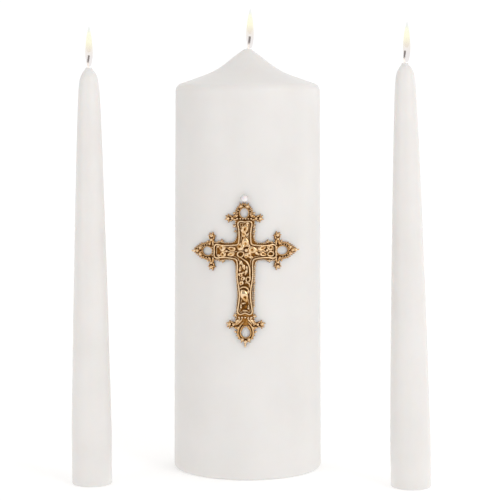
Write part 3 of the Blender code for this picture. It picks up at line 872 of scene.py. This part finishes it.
def side_lobe(relief, side, far_side, lobe_drop):
    """One lobe: two leaves and a row of beads that end in a small bud."""
    relief.bead(side * 1.6, far_side + 0.95, 1.5, 0.9, 1.0, 12, 8)
    for x, y, drop, angle, *shape in (
            (4.4, -1.7, 0.6, -110, 3.4, 1.7, 1.0, 1.0, 0.5),
            (4.9, -3.3, 0.8, -80, 3.4, 1.3, 0.9, 1.0, 0.3),
            (6.9, -1.6, 1.0, -75, 2.2, 1.0, 0.9, 0.9, 0.2),
            (6.8, -3.9, 1.0, -105, 2.2, 1.0, 0.9, 0.9, 0.2),
            (8.8, -1.9, 1.0, -35, *LOBE_TIP), (9.0, -3.3, 1.0, -85, *LOBE_TIP),
            (8.0, -1.3, 1.0, 0, *LOBE_TIP), (7.8, -4.1, 1.0, 180, *LOBE_TIP)):
        relief.leaf(side * x, y + lobe_drop * drop, 90 + side * angle, *shape)
    for x, y, drop, w, radius in ((5.9, -2.75, 1.0, 1.35, 0.85), (4.9, -0.2, 0.3, 1.3, 0.65),
                                  (3.4, -2.9, 0.0, 1.4, 0.6)):
        relief.bead(side * x, y + lobe_drop * drop, w, radius)
    relief.bead(side * 7.9, -2.9 + lobe_drop, 1.45, 0.95, 1.0, 12, 8)


def drop_stems(relief, side):
    """The two stems that bend round one side of the drop-shaped opening, with buds outside."""
    outer = [(1.0, -5.6), (2.0, -4.6), (3.1, -2.9), (3.7, -0.9), (3.6, 1.1), (2.7, 2.8),
             (1.3, 3.9), (0.2, 4.5)]
    inner = [(0.9, -4.0), (1.9, -2.6), (2.55, -0.8), (2.5, 0.9), (1.7, 2.2), (0.5, 3.2)]
    for points, radius, w in ((outer, 0.5, 1.25), (inner, 0.38, 1.2)):
        stem(relief, [(side * x, y) for x, y in points], radius, w)
    for x, y, angle in ((4.3, -0.1, 60), (4.2, 1.4, 75), (3.4, 3.0, 100)):
        relief.leaf(side * x, y, 90 - side * angle, 1.3, 0.7, 0.7, 0.7, 0.1)


def tall_crest(relief, side):
    """One side of a crest that ends in a tip: leaves along its edge, and two within."""
    for x, y in ((3.7, 3.9), (3.0, 5.1), (2.3, 6.3), (1.6, 7.4), (0.9, 8.4)):
        relief.leaf(side * x, y, 90 - side * 30, 1.8, 0.8, 0.75, 0.75, 0.15)
    relief.leaf(side * 2.3, 4.6, 90 + side * 35, 2.2, 1.0, 0.9, 0.9, 0.3)
    relief.leaf(side * 1.3, 6.3, 90 + side * 28, 2.0, 0.9, 0.9, 0.9, 0.3)
    relief.bead(side * 1.2, 4.7, 1.35, 0.75)


def draw_finial(origin, turn, hole, far, lobe_drop, point):
    """A leafy ring with a lobe to each side; y runs outwards from the finial's origin.

    hole is the opening's half width, half height and centre along y. A negative point draws
    the opening out towards the cross, and stems then take the place of the ring's leaves.
    """
    relief = Relief(origin, turn, 0.80)
    half_x, half_y, centre = hole
    far_side = centre + half_y
    ring = oval(0.0, centre, half_x, half_y, 28, point)
    # wall=1.1 paints the finial plate's walls, round its opening and edge, bright: painted light
    # off the gold that offsets the occlusion's painted shade there.
    relief.plate(finial_outline(far, lobe_drop), [ring], PLATE_LOW, RING_TOP, rise_top=0.16,
                 wall=1.1)
    relief.loop(oval(0.0, centre, half_x + 0.30, half_y + 0.30, 36, point), RING_TOP + 0.1, 0.34)
    if point >= 0:
        ring_leaves(relief, half_x, half_y, centre)
    for side in (-1, 1):
        side_lobe(relief, side, far_side, lobe_drop)
    if point >= 0:
        for x in (-1.9, -0.6, 0.7, 2.0):
            relief.bead(x, centre - half_y - 0.55, 1.3, 0.55)
    else:
        for side in (-1, 1):
            drop_stems(relief, side)
    for side in (-1, 1):
        relief.leaf(side * 1.9, far_side + 1.9, 90 - side * 25, 1.9, 0.9, 0.8, 0.75, 0.1)
        relief.leaf(side * 0.6, far_side + 2.2, 90 - side * 12, 1.6, 0.8, 0.8, 0.7, 0.1)
    if far:
        for side in (-1, 1):
            tall_crest(relief, side)
        relief.bead(0.0, far - 1.2, 1.4, 0.95, 1.0, 12, 8)
        relief.bead(0.0, far + 0.4, 1.3, 0.65)
    return relief


def draw_point(origin, turn, sizes):
    """A bead drawn out to a point with a little one beyond it."""
    relief = Relief(origin, turn)
    for y, r in sizes:
        relief.bead(0.0, y, 1.0, r, 1.0, 12, 8)
    start, end = sizes[0][0], sizes[-1][0]
    relief.tube([(0.0, start, 1.0), (0.0, (start + end) / 2, 1.0), (0.0, end, 1.0)],
                sizes[-1][1] * 0.8, sides=8)
    return relief


# ---- wax, wicks and flames

def pillar_wobble(angle, z, radius):
    """Moulded wax is never quite round: a few hundredths of a millimetre out."""
    share = min(1.0, radius / 20.0)
    return share * (0.05 * sin(2 * angle + z / 60) + 0.03 * sin(3 * angle - z / 35)
                    + 0.015 * sin(7 * angle + z / 14))


def pillar_shape():
    """The pillar's profile from the wick's hole over the ogee top to the recess under its base."""
    top = WAX_HEIGHT
    shoulder_x = BASE_RADIUS - BODY_DRAFT * SHOULDER_Z - SHOULDER_ROUND
    shoulder = arc(shoulder_x, SHOULDER_Z, SHOULDER_ROUND, 72, 0, 14)
    dome = catmull([(0.9, top + 0.35), (1.9, top + 0.05), (3.4, top - 1.0), (8.0, top - 4.3),
                    (12.4, top - 7.8), (18.0, top - 11.3), (25.0, top - 14.2), shoulder[0]], 6)
    side = [(BASE_RADIUS - BODY_DRAFT * z, z) for z in np.linspace(SHOULDER_Z - 4, 6.0, 40)]
    foot = arc(BASE_RADIUS - FOOT_ROUND, FOOT_ROUND, FOOT_ROUND, 0, -90, 6)
    recess = [(32.3, 0.0), (32.3, 0.6), (0.9, 0.6)]
    return [tuple(p) for p in dome[:-1]] + shoulder + side + foot + recess


def taper_shape(height):
    body = [(1.6, height), (1.9, height - 1.0), (3.0, height - 2.4), (4.3, height - 5.0),
            (4.95, height - 9.0), (5.5, 194.0), (6.5, 168.0), (8.0, 118.0), (9.3, 67.0),
            (TAPER_RADIUS, 26.0)]
    foot = arc(TAPER_RADIUS - 0.6, 0.6, 0.6, 0, -90, 4)
    return [(0.8, height)] + [tuple(p) for p in catmull(body, 6)] + foot + [(0.8, 0.0)]


def taper_wobble(angle, z, radius):
    return 0.012 * radius / 10 * sin(2 * angle + z / 30) + 0.006 * sin(5 * angle - z / 17)


def build_wax(name, profile, steps, wobble, material, centre=(0.0, 0.0), lean=0.0):
    """A turned candle, with the wall of its wick's hole from the last ring to the first."""
    verts, faces = revolve(profile, steps, wobble, centre, lean)
    last = len(verts) - steps
    faces += [(last + k, k, (k + 1) % steps, last + (k + 1) % steps) for k in range(steps)]
    return make_object(name, verts, faces, material)


def add_strand(verts, faces, line, start, radius):
    """One strand that winds round a line of points, with eight sides and closed ends."""
    first = len(verts)
    sides = 8
    for i, centre in enumerate(line):
        along = line[min(i + 1, len(line) - 1)] - line[max(i - 1, 0)]
        along = along / np.linalg.norm(along)
        side = np.cross(along, [0.0, 1.0, 0.0])
        side = side / np.linalg.norm(side)
        back = np.cross(along, side)
        a = start + i * 0.36
        size = radius * (0.75 + 0.35 * i / len(line))
        middle = centre + (side * cos(a) + back * sin(a)) * size * 0.5
        for k in range(sides):
            b = PI2 * k / sides
            verts.append(middle + (side * cos(b) + back * sin(b)) * size * 0.55)
    for i in range(len(line) - 1):
        a = first + i * sides
        for k in range(sides):
            n = (k + 1) % sides
            faces.append((a + k, a + n, a + sides + n, a + sides + k))
    end = first + (len(line) - 1) * sides
    faces.append(tuple(first + k for k in reversed(range(sides))))
    faces.append(tuple(end + k for k in range(sides)))


def build_wick(name, path, radius, material):
    """Three plaited strands along a path; its first span is straight."""
    line = np.vstack([evenly(path[:2], 3.0)[:-1], evenly(catmull(path[1:], 10), 0.18)])
    verts = []
    faces = []
    for strand in range(3):
        add_strand(verts, faces, line, PI2 * strand / 3, radius)
    return make_object(name, np.array(verts) * MM, faces, material)


def build_flame(name, centre, low, high, width, lean, material):
    """A closed teardrop of light, leaning a little towards its tip."""
    shape = catmull([(0.0, 1.0), (0.16, 0.97), (0.42, 0.87), (0.72, 0.72), (0.93, 0.52),
                     (1.0, 0.38), (0.96, 0.24), (0.72, 0.10), (0.42, 0.02), (0.0, 0.0)], 6)
    profile = [(max(0.0, r) * width / 2, low + t * (high - low)) for r, t in shape]
    profile[0] = (0.0, high)
    profile[-1] = (0.0, low)
    verts, faces = revolve(profile, 24)
    tall = (high - low) * MM
    share = (verts[:, 2] - low * MM) / tall
    verts[:, 0] += centre[0] * MM + lean * MM * share ** 2
    verts[:, 1] += centre[1] * MM
    return make_object(name, verts, faces, material)


# ---- the object

def ride(obj, body, slot_name, *nodes):
    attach(obj, body)
    if nodes:
        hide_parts(*nodes)


FINIALS = {  # origin, turn, hole, far, lobe_drop and point of each
    "top": ((-0.39, 18.8), 0, (2.05, 2.4, 0.0), 0.0, 0.0, 0.0),
    "left": ((-19.1, -0.95), 90, (2.2, 2.7, 0.7), 7.4, 0.75, 0.2),
    "right": ((18.4, -0.5), -90, (2.15, 2.9, 0.9), 7.4, 0.75, 0.2),
    "bottom": ((0.32, -42.2), 180, (2.2, 2.3, 0.0), 0.0, -1.6, -1.0),
}
POINTS = {  # origin, turn and beads of each finial's tip
    "left": ((-27.8, -1.3), 90, [(0.0, 0.85), (1.5, 0.5)]),
    "right": ((27.3, -0.55), -90, [(0.0, 0.85), (1.7, 0.45)]),
    "bottom": ((0.2, -46.6), 180, [(0.0, 0.95), (2.4, 0.55)]),
}


def build_cross():
    """The gold pieces: each stands for the CAD nodes that are named with it."""
    gold = gold_material("antique_gold", None)
    reliefs = [("cross_plate_edge", draw_plate(), ["cross_back_plate"]),
               ("cross_field", draw_field(), ["cross_panel"]),
               ("cross_rim_wire", draw_rim(), ["cross_panel_rim"]),
               ("cross_flower_petals", draw_flower(), ["cross_flower", "cross_flower_bead"])]
    for side, draw in (("left", draw_left_vine), ("right", draw_right_vine),
                       ("top", draw_top_vine), ("bottom", draw_lower_vine)):
        vine = "cross_vine_" + side
        reliefs.append((vine + "_leaves", draw(), [vine]))
    for side, shape in FINIALS.items():
        reliefs.append(("finial_%s_leaves" % side, draw_finial(*shape), ["finial_" + side]))
    for side, shape in POINTS.items():
        reliefs.append(("finial_%s_point" % side, draw_point(*shape), ["finial_tip_" + side]))
    for name, relief, nodes in reliefs:
        ride(relief.build(name, gold), "pillar", "antique_gold", *nodes)


def build_pearl(material):
    low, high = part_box("pearl_head")
    centre = (low + high) / 2 / MM
    radius = (high.z - low.z) / 2 / MM
    profile = [(radius * sin(pi * i / 28), centre.z + radius * cos(pi * i / 28))
               for i in range(29)]
    profile[0] = (0.0, profile[0][1])
    profile[-1] = (0.0, profile[-1][1])

    def grown(angle, z, r):
        return 0.015 * sin(3 * angle + z) * r / radius

    verts, faces = revolve(profile, 40, grown, (centre.x, centre.y))
    return make_object("pearl_bead", verts, faces, material)


def build_burning_wick(body, route, radius, char, flame, core):
    """A wick with a flame round it and a brighter core in that; all ride on one body.

    char is the heights where the soot starts and is full. flame and core are each
    (centre, low, high, width, lean), and both are coloured by the flame's own height.
    """
    cotton = wick_material("wick_" + body, *char)
    ride(build_wick(body + "_wick_plait", route, radius, cotton), body, "wick", body + "_wick")
    for name, shape in (("flame", flame), ("flame_core", core)):
        glow = flame_material(name + "_" + body, *flame[5])
        ride(build_flame(body + "_" + name, *shape[:5], glow), body, None)


def build_pillar(wax):
    top = WAX_HEIGHT
    ride(build_wax("pillar_candle_wax", pillar_shape(), 144, pillar_wobble, wax), "pillar", "wax",
         "pillar_wax")
    build_cross()
    ride(build_pearl(pearl_material()), "pillar", "pearl", "pearl_head")
    route = [(0.0, 0.0, 0.7), (0.0, 0.0, top - 2.5), (0.2, 0.0, top - 0.5), (0.5, 0.0, top + 1.4),
             (0.75, 0.0, top + 3.2), (1.0, 0.0, top + 5.0), (1.15, 0.0, WICK_TIP - 0.2)]
    colour_span = (top + 0.8, top + 21.0)
    centre = (1.2, 0.0)
    build_burning_wick("pillar", route, 0.55, (top + 2.4, top + 3.8),
                       (centre, top + 0.5, top + 21.1, 3.9, 0.2, colour_span),
                       (centre, top + 8.0, top + 19.0, 2.8, 0.1))


def build_taper(side, lean, flame_x, flame_tall, wax):
    body = "taper_" + side
    low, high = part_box(body + "_wax")
    base = (high.x / MM - TAPER_RADIUS, (low.y + high.y) / 2 / MM)
    top = high.z / MM
    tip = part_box(body + "_wick")[1].z / MM
    ride(build_wax(body + "_candle", taper_shape(top), 72, taper_wobble, wax, base, lean), body,
         "wax", body + "_wax")
    route = [(base[0] + lean * z + x, base[1], z) for x, z in (
        (0.0, 0.4), (0.0, top - 2.5), (-0.1, top - 0.5), (-0.35, top + 1.4),
        (-0.3, top + 3.2), (-0.05, top + 4.8), (0.1, tip))]
    foot = top + 0.4
    head = foot + flame_tall
    centre = (base[0] + lean * top + flame_x, base[1])
    build_burning_wick(body, route, 0.45, (top + 1.9, top + 3.1),
                       (centre, foot, head, 3.7, 0.1, (foot, head)),
                       (centre, foot + 7.0, head - 1.8, 2.7, 0.0))


def dress_small_pieces():
    """Materials for the CAD pieces that are kept as they are."""
    steel = metal_material("pin_steel", (0.42, 0.40, 0.37), 0.32)
    tin = metal_material("tinplate", (0.55, 0.55, 0.53), 0.34)
    worn_gold = gold_material("antique_gold_rubbed", 0.7)
    # The lower pin's head gets the dark end of the gold: painted shade, standing in for the recess
    # it sits in.
    recess_shaded_gold = gold_material("antique_gold_recess_shade", 0.2)
    for name, material in (
            ("pillar_wick_sustainer", tin), ("pillar_base_label", paper_material()),
            ("pearl_pin_shank", steel), ("cross_pin_left", worn_gold),
            ("cross_pin_right", worn_gold), ("cross_pin_lower", recess_shaded_gold)):
        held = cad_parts[name]
        held.data.materials.clear()
        held.data.materials.append(material)


# ---- stage, light and camera

def stage_sheet(name, corners, level, glow):
    """A matt white sheet that gives back some light of its own, so that it stays pale."""
    material, tree, shader = new_material(name + "_white")
    soft = noise(tree, 2.0, 2.0, 0.5)
    colour = ramp(tree, soft, [(0.0, (level,) * 3), (1.0, (level * 0.99,) * 3)])
    tree.links.new(colour, shader.inputs["Base Color"])
    set_inputs(shader, Roughness=0.9, Emission_Color=(1.0, 1.0, 1.0, 1.0), Emission_Strength=glow)
    make_object(name, corners, [(0, 1, 2, 3)], material)


def area_light(name, place, aim, size, power):
    data = bpy.data.lights.new(name, "AREA")
    data.shape = "RECTANGLE"
    data.size, data.size_y = size
    data.energy = power
    lamp = bpy.data.objects.new(name, data)
    lamp.location = place
    lamp.rotation_euler = (Vector(aim) - Vector(place)).to_track_quat("-Z", "Y").to_euler()
    bpy.context.scene.collection.objects.link(lamp)


def studio_world():
    """Pale walls: lighter to the right and behind the set, darker in front of it."""
    world = bpy.data.worlds.new("studio")
    world.use_nodes = True
    tree = world.node_tree
    x, y, z = position(tree, "Generated")
    across = math_node(tree, "MULTIPLY", x, WORLD_RIGHT)
    behind = math_node(tree, "MULTIPLY", y, WORLD_BEHIND)
    above = math_node(tree, "MULTIPLY", z, WORLD_ABOVE)
    strength = math_node(tree, "ADD", math_node(tree, "ADD", across, behind),
                         math_node(tree, "ADD", above, WORLD_MIDDLE))
    background = tree.nodes["Background"]
    background.inputs["Color"].default_value = (*WORLD_TINT, 1.0)
    tree.links.new(strength, background.inputs["Strength"])
    bpy.context.scene.world = world


def build_camera():
    data = bpy.data.cameras.new("camera")
    data.sensor_width = 36.0
    data.lens = CAMERA_LENS
    data.clip_start = 0.05
    camera = bpy.data.objects.new("camera", data)
    camera.location = CAMERA_PLACE
    camera.rotation_euler = (radians(90.0 - CAMERA_TILT), 0.0, 0.0)
    bpy.context.scene.collection.objects.link(camera)
    bpy.context.scene.camera = camera
    bpy.context.scene.view_settings.view_transform = "Standard"


WAX = wax_material()
build_pillar(WAX)
build_taper("left", 0.0, 0.15, 20.2, WAX)
build_taper("right", -0.022, 0.7, 20.0, WAX)
dress_small_pieces()
stage_sheet("floor", [(-7, -7, 0), (7, -7, 0), (7, 7, 0), (-7, 7, 0)], 0.90, 0.26)
stage_sheet("backdrop", [(-0.6, 1.6, 0), (0.6, 1.6, 0), (0.6, 1.6, 0.9), (-0.6, 1.6, 0.9)],
            0.05, 0.98)
for light in LIGHTS:
    area_light(*light)
studio_world()
build_camera()
